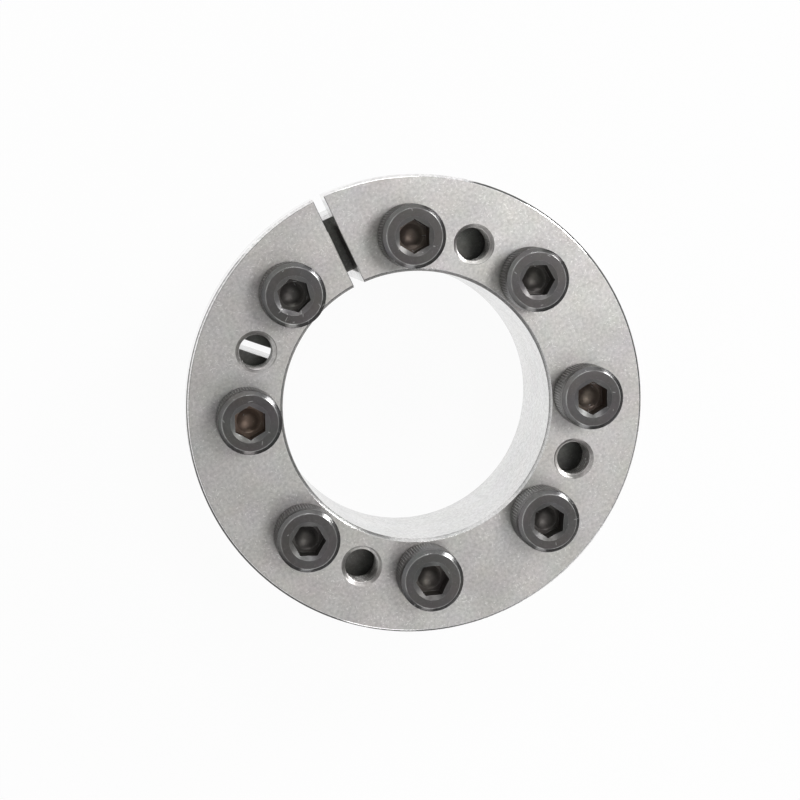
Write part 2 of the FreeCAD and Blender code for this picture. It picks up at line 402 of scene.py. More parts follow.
def smooth(piece):
    """Smooth shading with crisp edges, where wide faces keep their own direction"""
    mesh = piece.data
    mesh.polygons.foreach_set("use_smooth", [True] * len(mesh.polygons))
    mesh.set_sharp_from_angle(angle=SHARP_ANGLE)
    modifier = piece.modifiers.new("face_weights", "WEIGHTED_NORMAL")
    modifier.keep_sharp = True
    modifier.weight = 100


def dress(piece, material, slot, body, *nodes):
    """Gives a finished piece its material, and puts it in place of the frame's nodes on its body"""
    smooth(piece)
    piece.data.materials.clear()
    piece.data.materials.append(material)
    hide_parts(*nodes)
    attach(piece, body)


# Shader effects

def new_group(name, inputs, outputs):
    """Group with a Vector input, number inputs with their defaults, and outputs with their kinds"""
    group = bpy.data.node_groups.new(name, "ShaderNodeTree")
    group.interface.new_socket("Vector", in_out="INPUT", socket_type="NodeSocketVector")
    for socket, value in inputs.items():
        made = group.interface.new_socket(socket, in_out="INPUT", socket_type="NodeSocketFloat")
        made.default_value = value
    for socket, kind in outputs.items():
        group.interface.new_socket(socket, in_out="OUTPUT", socket_type=f"NodeSocket{kind}")
    return group, group.nodes.new("NodeGroupInput").outputs, group.nodes.new("NodeGroupOutput").inputs


def math_node(tree, operation, first, second=None, clamp=False):
    node = tree.nodes.new("ShaderNodeMath")
    node.operation = operation
    node.use_clamp = clamp
    for index, value in enumerate((first, second)):
        if isinstance(value, (int, float)):
            node.inputs[index].default_value = value
        elif value is not None:
            tree.links.new(value, node.inputs[index])
    return node.outputs[0]


def times(tree, first, *others):
    """Product of masks and numbers"""
    for other in others:
        first = math_node(tree, "MULTIPLY", first, other)
    return first


def strongest(tree, first, *others):
    """The greatest of several masks"""
    for other in others:
        first = math_node(tree, "MAXIMUM", first, other)
    return first


def opposite(tree, mask):
    """One less a mask"""
    return math_node(tree, "SUBTRACT", 1.0, mask)


def vector_node(tree, operation, first, second=None, scale=None):
    node = tree.nodes.new("ShaderNodeVectorMath")
    node.operation = operation
    for index, value in enumerate((first, second)):
        if isinstance(value, tuple):
            node.inputs[index].default_value = value
        elif value is not None:
            tree.links.new(value, node.inputs[index])
    if isinstance(scale, (int, float)):
        node.inputs["Scale"].default_value = scale
    elif scale is not None:
        tree.links.new(scale, node.inputs["Scale"])
    return node.outputs["Value" if operation in ("DOT_PRODUCT", "LENGTH") else "Vector"]


def split(tree, vector):
    """X, Y and Z of a vector"""
    parts = tree.nodes.new("ShaderNodeSeparateXYZ")
    tree.links.new(vector, parts.inputs["Vector"])
    return parts.outputs


def from_axis(tree, vector):
    """Distance from the Z axis"""
    return vector_node(tree, "LENGTH", vector_node(tree, "MULTIPLY", vector, (1.0, 1.0, 0.0)))


def map_range(tree, value, low, high, to_low=0.0, to_high=1.0):
    node = tree.nodes.new("ShaderNodeMapRange")
    tree.links.new(value, node.inputs["Value"])
    for name, number in (("From Min", low), ("From Max", high), ("To Min", to_low), ("To Max", to_high)):
        if isinstance(number, (int, float)):
            node.inputs[name].default_value = number
        else:
            tree.links.new(number, node.inputs[name])
    return node.outputs["Result"]


def noise(tree, vector, scale, detail=2.0, roughness=0.5):
    node = tree.nodes.new("ShaderNodeTexNoise")
    tree.links.new(vector, node.inputs["Vector"])
    node.inputs["Scale"].default_value = scale
    node.inputs["Detail"].default_value = detail
    node.inputs["Roughness"].default_value = roughness
    return node.outputs


def make_scratches():
    """One short straight scratch in each cell, at a random angle in the surface"""
    group, given, out = new_group("short_scratches", {
        "Cells per metre": 500.0, "Length": 1.0 * MM, "Width": 0.06 * MM, "Share": 0.5}, {"Mask": "Float"})
    cells = group.nodes.new("ShaderNodeTexVoronoi")
    group.links.new(given["Vector"], cells.inputs["Vector"])
    group.links.new(given["Cells per metre"], cells.inputs["Scale"])
    surface = group.nodes.new("ShaderNodeNewGeometry").outputs["True Normal"]
    middle = cells.outputs["Position"]
    chance = group.nodes.new("ShaderNodeTexWhiteNoise")
    group.links.new(vector_node(group, "SCALE", middle, scale=1 / MM), chance.inputs["Vector"])

    def flatten(vector):
        lift = vector_node(group, "DOT_PRODUCT", vector, surface)
        return vector_node(group, "SUBTRACT", vector, vector_node(group, "SCALE", surface, scale=lift))

    heading = vector_node(group, "SUBTRACT", chance.outputs["Color"], (0.5, 0.5, 0.5))
    heading = vector_node(group, "NORMALIZE", flatten(heading))
    local = flatten(vector_node(group, "SUBTRACT", given["Vector"], middle))
    along = vector_node(group, "DOT_PRODUCT", local, heading)
    aside = vector_node(group, "SUBTRACT", local, vector_node(group, "SCALE", heading, scale=along))
    size = map_range(group, chance.outputs["Value"], 0.0, 1.0, 0.35, 1.0)
    reach = times(group, given["Length"], size, 0.5)
    ends = math_node(group, "DIVIDE", math_node(group, "ABSOLUTE", along), reach)
    sides = math_node(group, "DIVIDE", vector_node(group, "LENGTH", aside), times(group, given["Width"], 0.5))
    drawn = times(group, map_range(group, ends, 1.0, 0.5), map_range(group, sides, 1.0, 0.4))
    draw = group.nodes.new("ShaderNodeSeparateColor")
    group.links.new(cells.outputs["Color"], draw.inputs["Color"])
    shown = math_node(group, "LESS_THAN", draw.outputs["Red"], given["Share"])
    group.links.new(math_node(group, "MULTIPLY", drawn, shown, clamp=True), out["Mask"])
    return group


def make_speckle():
    """Small irregular bright dots and a soft cloudy tone, as on ground steel that was tumbled"""
    group, given, out = new_group("speckle", {"Share": 0.3}, {
        "Dots": "Float", "Grain": "Float", "Clouds": "Float", "Tint": "Color", "Patches": "Float"})
    fine = noise(group, given["Vector"], 3200.0, detail=1.0)["Fac"]
    patches = noise(group, given["Vector"], 260.0, detail=3.0)["Fac"]
    limit = math_node(group, "SUBTRACT", 0.74, times(group, given["Share"], patches))
    dots = map_range(group, fine, limit, math_node(group, "ADD", limit, 0.1))
    grain = noise(group, given["Vector"], 1500.0, detail=3.0, roughness=0.6)["Fac"]
    clouds = noise(group, given["Vector"], 110.0, detail=4.0, roughness=0.55)["Fac"]
    tint = noise(group, given["Vector"], 170.0)["Color"]
    for name, value in (("Dots", dots), ("Grain", grain), ("Clouds", clouds), ("Tint", tint),
                        ("Patches", patches)):
        group.links.new(value, out[name])
    return group


def make_edge_wear():
    """Where an edge is close, broken up by noise"""
    group, given, out = new_group("edge_wear", {"Reach": 0.15 * MM, "Amount": 1.0}, {"Mask": "Float"})
    bevel = group.nodes.new("ShaderNodeBevel")
    bevel.samples = 6
    group.links.new(given["Reach"], bevel.inputs["Radius"])
    surface = group.nodes.new("ShaderNodeNewGeometry").outputs["Normal"]
    facing = vector_node(group, "DOT_PRODUCT", bevel.outputs["Normal"], surface)
    bend = map_range(group, facing, 0.995, 0.9)
    broken = noise(group, given["Vector"], 900.0, detail=3.0, roughness=0.65)["Fac"]
    broken = map_range(group, broken, 0.35, 0.6)
    mask = math_node(group, "MULTIPLY", times(group, bend, broken), given["Amount"], clamp=True)
    group.links.new(mask, out["Mask"])
    return group


def make_tool_marks():
    """Fine rings that a turning or grinding tool leaves round the axis"""
    group, given, out = new_group("tool_marks", {"Lines per metre": 6000.0}, {"Height": "Float"})
    parts = split(group, given["Vector"])
    angle = math_node(group, "ARCTAN2", parts["Y"], parts["X"])
    drawn = group.nodes.new("ShaderNodeCombineXYZ")
    for name, value in (("X", from_axis(group, given["Vector"])), ("Y", parts["Z"])):
        group.links.new(times(group, value, given["Lines per metre"]), drawn.inputs[name])
    group.links.new(times(group, angle, 2.0), drawn.inputs["Z"])
    lines = noise(group, drawn.outputs["Vector"], 1.0, detail=2.0, roughness=0.7)["Fac"]
    group.links.new(lines, out["Height"])
    return group


def make_facing():
    """Where a point lies on its piece, and how it faces: walls stand along the axis, and bevels lean"""
    group, given, out = new_group("facing", {}, {
        "Wall": "Float", "Bevel": "Float", "Reach": "Float", "Height": "Float"})
    normal = group.nodes.new("ShaderNodeNewGeometry").outputs["Normal"]
    lean = math_node(group, "ABSOLUTE", split(group, normal)["Z"])
    bevel = times(group, map_range(group, lean, 0.3, 0.5), map_range(group, lean, 0.98, 0.92))
    group.links.new(map_range(group, lean, 0.55, 0.4), out["Wall"])
    group.links.new(bevel, out["Bevel"])
    group.links.new(from_axis(group, given["Vector"]), out["Reach"])
    group.links.new(split(group, given["Vector"])["Z"], out["Height"])
    return group


def use_group(tree, group, vector, **values):
    node = tree.nodes.new("ShaderNodeGroup")
    node.node_tree = group
    tree.links.new(vector, node.inputs["Vector"])
    for name, value in values.items():
        socket = node.inputs[name.replace("_", " ")]
        if isinstance(value, bpy.types.NodeSocket):
            tree.links.new(value, socket)
        else:
            socket.default_value = value
    return node.outputs


def mix_colour(tree, factor, first, second, blend="MIX"):
    node = tree.nodes.new("ShaderNodeMix")
    node.data_type = "RGBA"
    node.blend_type = blend
    for name, value in (("Factor_Float", factor), ("A_Color", first), ("B_Color", second)):
        socket = next(item for item in node.inputs if item.identifier == name)
        if isinstance(value, (int, float)):
            socket.default_value = value
        elif isinstance(value, bpy.types.NodeSocket):
            tree.links.new(value, socket)
        else:
            socket.default_value = (*value, 1.0)
    return next(item for item in node.outputs if item.identifier == "Result_Color")


def new_material(name):
    material = bpy.data.materials.new(name)
    material.use_nodes = True
    tree = material.node_tree
    shader = tree.nodes["Principled BSDF"]
    vector = tree.nodes.new("ShaderNodeTexCoord").outputs["Object"]
    return material, tree, shader, vector


def add_bump(tree, shader, height, distance):
    bump = tree.nodes.new("ShaderNodeBump")
    bump.inputs["Distance"].default_value = distance
    bump.inputs["Strength"].default_value = 1.0
    tree.links.new(height, bump.inputs["Height"])
    tree.links.new(bump.outputs["Normal"], shader.inputs["Normal"])


def effects():
    """The shared node groups, made on first use"""
    makers = {"short_scratches": make_scratches, "speckle": make_speckle, "edge_wear": make_edge_wear,
              "tool_marks": make_tool_marks, "facing": make_facing}
    return {name: bpy.data.node_groups.get(name) or maker() for name, maker in makers.items()}


def steel_material(name, base, marks_height, lines, flanged):
    """Machined steel: faces with knocks and short scratches in patches, finer walls, faint tool marks.
    The flanged ring's rim is polished and its holes carry painted shade. The other ring's face is darker,
    partly its own tone and partly painted shade of the gap under the flange."""
    finish = bpy.context.scene.assembly_finish
    groups = effects()
    material, tree, shader, vector = new_material(name)
    facing = use_group(tree, groups["facing"], vector)
    reach, height = facing["Reach"], facing["Height"]
    speckle = use_group(tree, groups["speckle"], vector, Share=0.16)
    knocked = map_range(tree, speckle["Patches"], 0.48, 0.68, 0.03, 0.75)
    long_ones = use_group(tree, groups["short_scratches"], vector, Cells_per_metre=170.0,
                          Length=3.5 * MM, Width=0.1 * MM, Share=0.25)["Mask"]
    short_ones = use_group(tree, groups["short_scratches"], vector, Cells_per_metre=950.0,
                           Length=0.95 * MM, Width=0.16 * MM, Share=knocked)["Mask"]
    wear = use_group(tree, groups["edge_wear"], vector, Reach=0.2 * MM, Amount=0.8)["Mask"]
    marks = use_group(tree, groups["tool_marks"], vector, Lines_per_metre=lines)["Height"]
    scratches = strongest(tree, times(tree, long_ones, 0.5), short_ones)
    bright = times(tree, strongest(tree, speckle["Dots"], scratches), 0.75)
    off_circle = math_node(tree, "ABSOLUTE", math_node(tree, "SUBTRACT", reach, BOLT_RADIUS))
    clear = map_range(tree, off_circle, HOLE_ZONE, HOLE_ZONE + BLEND)
    turned = strongest(tree, facing["Wall"], times(tree, facing["Bevel"], clear))
    plain, wall = tuple(base), tuple(finish.bright_wall)
    finer = finish.steel_roughness - finish.wall_roughness
    if flanged:
        polish_from = RIM_RADIUS - RIM_POLISH
        outermost = map_range(tree, reach, polish_from, polish_from + BLEND)
        wall = mix_colour(tree, outermost, wall, tuple(finish.polished_rim))
        finer = map_range(tree, outermost, 0.0, 1.0, finer, finish.steel_roughness - finish.rim_roughness)
        plain = mix_colour(tree, turned, plain, wall)
        # Painted shade: below the face and near the bolt circle, the holes and the flange's back are darkened
        # and lose the turned finish
        dark_from = FLANGE_FRONT - FACE_DEPTH
        below_face = map_range(tree, height, dark_from, dark_from - BLEND)
        shaded_hole = times(tree, below_face, opposite(tree, clear))
        plain = mix_colour(tree, shaded_hole, plain, tuple(finish.hole_shade))
        turned = times(tree, turned, opposite(tree, shaded_hole))
    else:
        # The outer ring's front face in the gap under the flange is darkened, partly its own tone and partly
        # painted shade; its dots and scratches fade there
        shade_from = RING_TOP - FACE_SHADE
        gap_shade_and_tone = map_range(tree, height, shade_from, shade_from + BLEND)
        plain = mix_colour(tree, gap_shade_and_tone, plain, tuple(finish.face_tone_and_shade))
        plain = mix_colour(tree, turned, plain, wall)
        bright = times(tree, bright, map_range(tree, gap_shade_and_tone, 0.0, 1.0, 1.0, 0.12))
    bright = strongest(tree, bright, wear)
    tinted = mix_colour(tree, 0.05, plain, speckle["Tint"], "OVERLAY")
    tone = map_range(tree, speckle["Clouds"], 0.3, 0.7, 0.94, 1.05)
    grain = map_range(tree, speckle["Grain"], 0.3, 0.7, 0.84, 1.16)
    shaded = vector_node(tree, "SCALE", tinted, scale=times(tree, tone, grain))
    skin = mix_colour(tree, bright, shaded, tuple(finish.scratch))
    tree.links.new(skin, shader.inputs["Base Color"])
    shader.inputs["Metallic"].default_value = 1.0
    rough = map_range(tree, speckle["Clouds"], 0.3, 0.7, finish.steel_roughness + 0.03,
                      finish.steel_roughness - 0.03)
    rough = math_node(tree, "SUBTRACT", rough, times(tree, bright, 0.12))
    rough = math_node(tree, "SUBTRACT", rough, times(tree, turned, finer))
    tree.links.new(rough, shader.inputs["Roughness"])
    depth = math_node(tree, "ADD", times(tree, marks, marks_height), times(tree, speckle["Grain"], 0.3))
    depth = math_node(tree, "SUBTRACT", depth, times(tree, scratches, 0.7))
    add_bump(tree, shader, depth, 0.004 * MM)
    return material


def oxide_material():
    """Black oxide, thin on the bevels, worn bright at the edges, nicked on top, with oil in the socket"""
    finish = bpy.context.scene.assembly_finish
    groups = effects()
    material, tree, shader, vector = new_material("black_oxide")
    place_of = tree.nodes.new("ShaderNodeObjectInfo").outputs["Location"]
    spread = vector_node(tree, "ADD", vector, place_of)
    facing = use_group(tree, groups["facing"], vector)
    reach, height = facing["Reach"], facing["Height"]
    top_from = HEAD_HEIGHT - HEAD_TOP
    near_top = map_range(tree, height, top_from, top_from + BLEND)
    bevel = times(tree, facing["Bevel"], near_top)
    inside = times(tree, map_range(tree, reach, SOCKET_ZONE + BLEND / 2, SOCKET_ZONE),
                   math_node(tree, "GREATER_THAN", height, OVERRUN), opposite(tree, near_top))
    outside = math_node(tree, "GREATER_THAN", reach, HEAD_RADIUS - 1.5 * MM)
    oil = tree.nodes.new("ShaderNodeAttribute")
    oil.attribute_type = "OBJECT"
    oil.attribute_name = "oil"
    oily = times(tree, inside, oil.outputs["Fac"])
    speckle = use_group(tree, groups["speckle"], spread, Share=0.12)
    nicks = use_group(tree, groups["short_scratches"], spread, Cells_per_metre=330.0,
                      Length=1.3 * MM, Width=0.2 * MM, Share=0.4)["Mask"]
    wear = use_group(tree, groups["edge_wear"], spread, Reach=0.16 * MM, Amount=0.9)["Mask"]
    marks = use_group(tree, groups["tool_marks"], vector, Lines_per_metre=3000.0)["Height"]
    thin = times(tree, bevel, map_range(tree, outside, 0.0, 1.0, 0.5, 1.0))
    skin = mix_colour(tree, thin, tuple(finish.oxide), tuple(finish.oxide_bevel))
    skin = mix_colour(tree, inside, skin, tuple(finish.socket_oxide))
    skin = mix_colour(tree, oily, skin, tuple(finish.old_oil))
    skin = mix_colour(tree, 0.08, skin, speckle["Tint"], "OVERLAY")
    tone = map_range(tree, speckle["Clouds"], 0.3, 0.7, 0.85, 1.15)
    grain = map_range(tree, speckle["Grain"], 0.3, 0.7, 0.9, 1.1)
    skin = vector_node(tree, "SCALE", skin, scale=times(tree, tone, grain))
    # The crests of the knurl and the edge of the top are rubbed in patches
    rubbed = map_range(tree, speckle["Patches"], 0.4, 0.6, 0.2, 0.9)
    crests = map_range(tree, reach, HEAD_RADIUS - 0.08 * MM, HEAD_RADIUS - 0.02 * MM)
    edge_radius = HEAD_RADIUS - HEAD_RELIEF - bpy.context.scene.screw_sizes.crown
    from_edge = math_node(tree, "ABSOLUTE", math_node(tree, "SUBTRACT", reach, edge_radius))
    edge_line = times(tree, map_range(tree, from_edge, 0.14 * MM, 0.04 * MM), near_top)
    bright = strongest(tree, times(tree, nicks, 0.8), wear, times(tree, speckle["Dots"], 0.2),
                       times(tree, strongest(tree, crests, edge_line), rubbed))
    skin = mix_colour(tree, bright, skin, tuple(finish.oxide_worn))
    tree.links.new(skin, shader.inputs["Base Color"])
    shader.inputs["Metallic"].default_value = 0.85
    rough = map_range(tree, speckle["Grain"], 0.3, 0.7, finish.oxide_roughness - 0.05,
                      finish.oxide_roughness + 0.05)
    gloss = map_range(tree, outside, 0.0, 1.0, 0.02, 0.2)
    tree.links.new(math_node(tree, "SUBTRACT", rough, times(tree, bevel, gloss)), shader.inputs["Roughness"])
    depth = math_node(tree, "ADD", times(tree, speckle["Grain"], 0.6), marks)
    depth = math_node(tree, "SUBTRACT", depth, times(tree, nicks, 4.0))
    add_bump(tree, shader, depth, 0.005 * MM)
    return material


# Pieces

def cut_slit(piece, width, turn, high, outside):
    """Cuts one wall of a ring from its rear face up, with the slit's edges broken at both faces"""
    half, flare = width / 2, bpy.context.scene.ring_sizes.slit_break
    wide = half + flare + OVERRUN
    outline = [(-wide, -OVERRUN), (wide, -OVERRUN), (half, flare), (half, high - flare),
               (wide, high + OVERRUN), (-wide, high + OVERRUN), (-half, high - flare), (-half, flare)]
    tool = prism("slit_tool", outline, BORE_RADIUS / 2, outside + OVERRUN, "Y")
    tool.data.transform(Matrix.Rotation(math.radians(turn - INNER_SLIT_TURN), 4, "Z"))
    carve(piece, tool)


def cut_sinks(piece, radius, sink, turn, low, high, chatter=0.0):
    """Cuts a plain hole with countersinks of 45 degrees at its ends, the upper one with chatter rings"""
    back_sink = bpy.context.scene.ring_sizes.thread_sink
    outline = [(0, low - OVERRUN), (radius + back_sink + OVERRUN, low - OVERRUN), (radius, low + back_sink),
               (radius, high - sink)]
    for ring in range(1, CHATTER_RINGS):
        up = sink * ring / CHATTER_RINGS
        outline.append((radius + up + chatter * (ring % 2), high - sink + up))
    outline += [(radius + sink + OVERRUN, high + OVERRUN), (0, high + OVERRUN)]
    carve(piece, place(turned_rod("hole_tool", outline), turn, BOLT_RADIUS))


def cut_thread(piece, turn, spin, start, high):
    """Cuts an inside thread that runs with a screw's thread from the same start"""
    sizes = bpy.context.scene.screw_sizes
    clearance = sizes.nut_clearance
    radii = (JACK_RADIUS - clearance, sizes.effective + clearance, sizes.major + clearance)
    tool = threaded_rod("thread_tool", sizes.pitch, radii, start, high)
    carve(piece, place(tool, turn, BOLT_RADIUS, FLANGE_FRONT, spin))


def thread_start():
    """Height below the flange's face where every thread begins, so that screws and ring are in step"""
    return -(FLANGE_FRONT + 2 * bpy.context.scene.screw_sizes.pitch)


class MESH_OT_flanged_ring(bpy.types.Operator):
    """Builds the slit inner ring: a flange with eight screw holes and four jack holes on a tapered sleeve"""
    bl_idname = "mesh.flanged_ring"
    bl_label = "Flanged inner ring"

    def execute(self, context):
        sizes = context.scene.ring_sizes
        soft = sizes.edge_round
        taper = math.tan(sizes.taper)
        sleeve = sizes.cone_radius - sizes.cone_clearance
        sleeve_rear = sleeve - RING_TOP * taper
        rim_drop = sizes.rim_chamfer * math.tan(sizes.rim_slope)
        outline = rounded([
            (BORE_RADIUS + sizes.rear_chamfer, 0, soft),
            (sleeve_rear - sizes.rear_chamfer, 0, soft),
            (sleeve_rear + sizes.rear_chamfer * taper, sizes.rear_chamfer, soft),
            (sleeve + (FLANGE_BACK - RING_TOP) * taper, FLANGE_BACK, sizes.root_round),
            (RIM_RADIUS - sizes.rim_chamfer, FLANGE_BACK, sizes.face_round),
            (RIM_RADIUS, FLANGE_BACK + rim_drop, sizes.rim_round),
            (RIM_RADIUS, FLANGE_FRONT - rim_drop, sizes.rim_round),
            (RIM_RADIUS - sizes.rim_chamfer, FLANGE_FRONT, sizes.face_round),
            (BORE_RADIUS + sizes.bore_chamfer, FLANGE_FRONT, soft),
            (BORE_RADIUS, FLANGE_FRONT - sizes.bore_chamfer, soft),
            (BORE_RADIUS, sizes.rear_chamfer, soft),
        ])
        ring = turned_ring("flanged_ring", outline)
        for turn in SCREW_TURNS:
            cut_sinks(ring, sizes.screw_hole, sizes.thread_sink, turn, FLANGE_BACK, FLANGE_FRONT)
        for turn in JACK_TURNS:
            cut_thread(ring, turn, turn, FLANGE_BACK - FLANGE_FRONT - OVERRUN, OVERRUN)
            cut_sinks(ring, JACK_RADIUS, sizes.jack_sink, turn, FLANGE_BACK, FLANGE_FRONT,
                      sizes.sink_chatter)
        cut_slit(ring, sizes.inner_slit, INNER_SLIT_TURN, FLANGE_FRONT, RIM_RADIUS)
        finish = context.scene.assembly_finish
        material = steel_material("ground_steel", finish.ground_steel, 0.6, 5000.0, True)
        dress(ring, material, "inner_ring_steel", "inner_ring", "inner_ring")
        return {"FINISHED"}


class MESH_OT_tapered_ring(bpy.types.Operator):
    """Builds the slit outer ring: a straight outside, a tapered bore and a tapped hole for every screw"""
    bl_idname = "mesh.tapered_ring"
    bl_label = "Tapered outer ring"

    def execute(self, context):
        sizes = context.scene.ring_sizes
        soft = sizes.edge_round
        taper = math.tan(sizes.taper)
        cone_rear = sizes.cone_radius - RING_TOP * taper
        mouth = sizes.mouth_chamfer
        outline = rounded([
            (cone_rear + mouth, 0, soft),
            (HUB_RADIUS - sizes.ring_chamfer, 0, soft),
            (HUB_RADIUS, sizes.ring_chamfer, soft),
            (HUB_RADIUS, RING_TOP - sizes.ring_chamfer, soft),
            (HUB_RADIUS - sizes.ring_chamfer, RING_TOP, soft),
            (sizes.cone_radius + mouth, RING_TOP, soft),
            (sizes.cone_radius - mouth * taper, RING_TOP - mouth, soft),
            (cone_rear + mouth * taper, mouth, soft),
        ])
        ring = turned_ring("tapered_ring", outline)
        for turn, spin in zip(SCREW_TURNS, SOCKET_TURNS):
            cut_thread(ring, turn, spin, thread_start(), 0)
            cut_sinks(ring, JACK_RADIUS, sizes.thread_sink, turn, 0, RING_TOP)
        cut_slit(ring, sizes.outer_slit, OUTER_SLIT_TURN, RING_TOP, HUB_RADIUS)
        finish = context.scene.assembly_finish
        material = steel_material("turned_steel", finish.turned_steel, 1.0, 3500.0, False)
        dress(ring, material, "outer_ring_steel", "outer_ring", "outer_ring")
        return {"FINISHED"}


def head_outline(sizes):
    """Head of a screw from its seat up, as radius, height and how much of the knurl shows there"""
    shoulder = HEAD_RADIUS - HEAD_RELIEF
    knurl_top = HEAD_HEIGHT - sizes.plain_band
    bevel_foot = HEAD_HEIGHT - sizes.crown * math.tan(sizes.crown_slope)
    outline = [(0, 0, 0), (shoulder - sizes.foot_bevel, 0, 0)]
    for base, points in ((0, KNURL_START), (knurl_top, KNURL_END)):
        outline += [(HEAD_RADIUS - inset, base + up, depth) for up, inset, depth in points]
    crown = rounded([(shoulder, knurl_top, 0), (shoulder, bevel_foot, sizes.crown_round),
                     (shoulder - sizes.crown, HEAD_HEIGHT, sizes.top_round), (0, HEAD_HEIGHT, 0)])
    outline += [(radius, up, 0) for radius, up in crown[1:]]
    return outline


def make_screw_mesh(sizes):
    """Socket head screw with its seat at height 0 on its own axis"""
    depth = sizes.knurl_depth
    ridges = sizes.knurl_count

    def knurl(angle, point):
        wave = abs((angle * ridges / (2 * math.pi)) % 1 * 2 - 1)
        return point[0] - depth * point[2] * wave

    screw = turned_rod("socket_screw", head_outline(sizes), ridges * RIDGE_STEPS, knurl)
    tip = sizes.tip_chamfer
    blank = turned_rod("shank", [
        (0, -SHANK_LENGTH), (sizes.major - tip, -SHANK_LENGTH), (sizes.major, tip - SHANK_LENGTH),
        (sizes.major, OVERRUN / 2), (0, OVERRUN / 2)])
    radii = (sizes.minor, sizes.effective, sizes.major + OVERRUN / 100)
    carve(blank, threaded_rod("thread", sizes.pitch, radii, thread_start(), OVERRUN), "INTERSECT")
    carve(screw, blank, "UNION")
    above = HEAD_HEIGHT + OVERRUN
    mouth = sizes.key_sink + OVERRUN / DRILL_SLOPE
    sink = [(0, HEAD_HEIGHT - sizes.key_sink * DRILL_SLOPE), (mouth, above), (0, above)]
    carve(screw, turned_rod("sink_tool", sink, HOLE_SEGMENTS * 2))
    floor = HEAD_HEIGHT - sizes.key_depth
    corner = sizes.key_flats / 2 / math.cos(math.pi / HEXAGON_SIDES)
    turns = [2 * math.pi * side / HEXAGON_SIDES for side in range(HEXAGON_SIDES)]
    hexagon = [(corner * math.cos(turn), corner * math.sin(turn)) for turn in turns]
    carve(screw, prism("key_tool", hexagon, floor, above))
    drill, drill_top = sizes.key_drill, floor + OVERRUN / 2
    point = [(0, floor - drill * DRILL_SLOPE), (drill, floor), (drill, drill_top), (0, drill_top)]
    carve(screw, turned_rod("drill_tool", point))
    return screw


class MESH_OT_clamp_screws(bpy.types.Operator):
    """Builds the eight socket head screws, each at its own turn, in step with the outer ring's threads"""
    bl_idname = "mesh.clamp_screws"
    bl_label = "Clamping screws"

    def execute(self, context):
        first = make_screw_mesh(context.scene.screw_sizes)
        material = oxide_material()
        for number, (turn, spin) in enumerate(zip(SCREW_TURNS, SOCKET_TURNS), 1):
            screw = first.copy()
            screw.data = first.data.copy()
            screw.name = f"socket_screw_{number}"
            context.scene.collection.objects.link(screw)
            angle = math.radians(turn)
            screw.location = (BOLT_RADIUS * math.cos(angle), BOLT_RADIUS * math.sin(angle), FLANGE_FRONT)
            screw.rotation_euler = (0, 0, math.radians(spin))
            screw["oil"] = SOCKET_OIL[number - 1]
            node = f"clamp_screw_{number}"
            dress(screw, material, "screw_steel", node, node)
        bpy.data.objects.remove(first)
        return {"FINISHED"}


# Stage

def floor_material(look):
    """Pale floor that the camera sees as white, with the object's shadow on it"""
    material, tree, shader, _ = new_material("floor")
    shader.inputs["Base Color"].default_value = (*look.floor, 1.0)
    shader.inputs["Roughness"].default_value = 0.9
    rays = tree.nodes.new("ShaderNodeLightPath").outputs
    seen = strongest(tree, rays["Is Camera Ray"], rays["Is Glossy Ray"], rays["Is Transmission Ray"])
    white = tree.nodes.new("ShaderNodeEmission")
    white.inputs["Strength"].default_value = 1.0
    mix = tree.nodes.new("ShaderNodeMixShader")
    tree.links.new(times(tree, seen, look.backdrop), mix.inputs["Fac"])
    tree.links.new(shader.outputs["BSDF"], mix.inputs[1])
    tree.links.new(white.outputs["Emission"], mix.inputs[2])
    tree.links.new(mix.outputs["Shader"], tree.nodes["Material Output"].inputs["Surface"])
    return material


def make_world():
    """Studio walls and ceiling, as bright as STUDIO_LEVELS says at each height above the horizon"""
    world = bpy.data.worlds.new("studio")
    world.use_nodes = True
    tree = world.node_tree
    light = tree.nodes["Background"]
    direction = tree.nodes.new("ShaderNodeTexCoord").outputs["Generated"]
    ramp = tree.nodes.new("ShaderNodeValToRGB")
    tree.links.new(split(tree, direction)["Z"], ramp.inputs["Fac"])
    stops = ramp.color_ramp.elements
    while len(stops) < len(STUDIO_LEVELS):
        stops.new(1.0)
    for stop, (height, level) in zip(stops, STUDIO_LEVELS):
        stop.position = math.sin(math.radians(height))
        stop.color = (level, level, level, 1.0)
    tree.links.new(ramp.outputs["Color"], light.inputs["Color"])
    white = tree.nodes.new("ShaderNodeBackground")
    white.inputs["Color"].default_value = (1.0, 1.0, 1.0, 1.0)
    mix = tree.nodes.new("ShaderNodeMixShader")
    rays = tree.nodes.new("ShaderNodeLightPath").outputs
    tree.links.new(rays["Is Camera Ray"], mix.inputs["Fac"])
    tree.links.new(light.outputs["Background"], mix.inputs[1])
    tree.links.new(white.outputs["Background"], mix.inputs[2])
    tree.links.new(mix.outputs["Shader"], tree.nodes["World Output"].inputs["Surface"])
    bpy.context.scene.world = world


def add_softbox(name, spot, target, power):
    light = bpy.data.lights.new(name, "AREA")
    light.shape = "SQUARE"
    light.size = LAMP_WIDTH
    light.energy = power
    lamp = bpy.data.objects.new(name, light)
    lamp.location = spot
    lamp.rotation_euler = (target - spot).to_track_quat("-Z", "Y").to_euler()
    lamp.visible_camera = False
    bpy.context.scene.collection.objects.link(lamp)


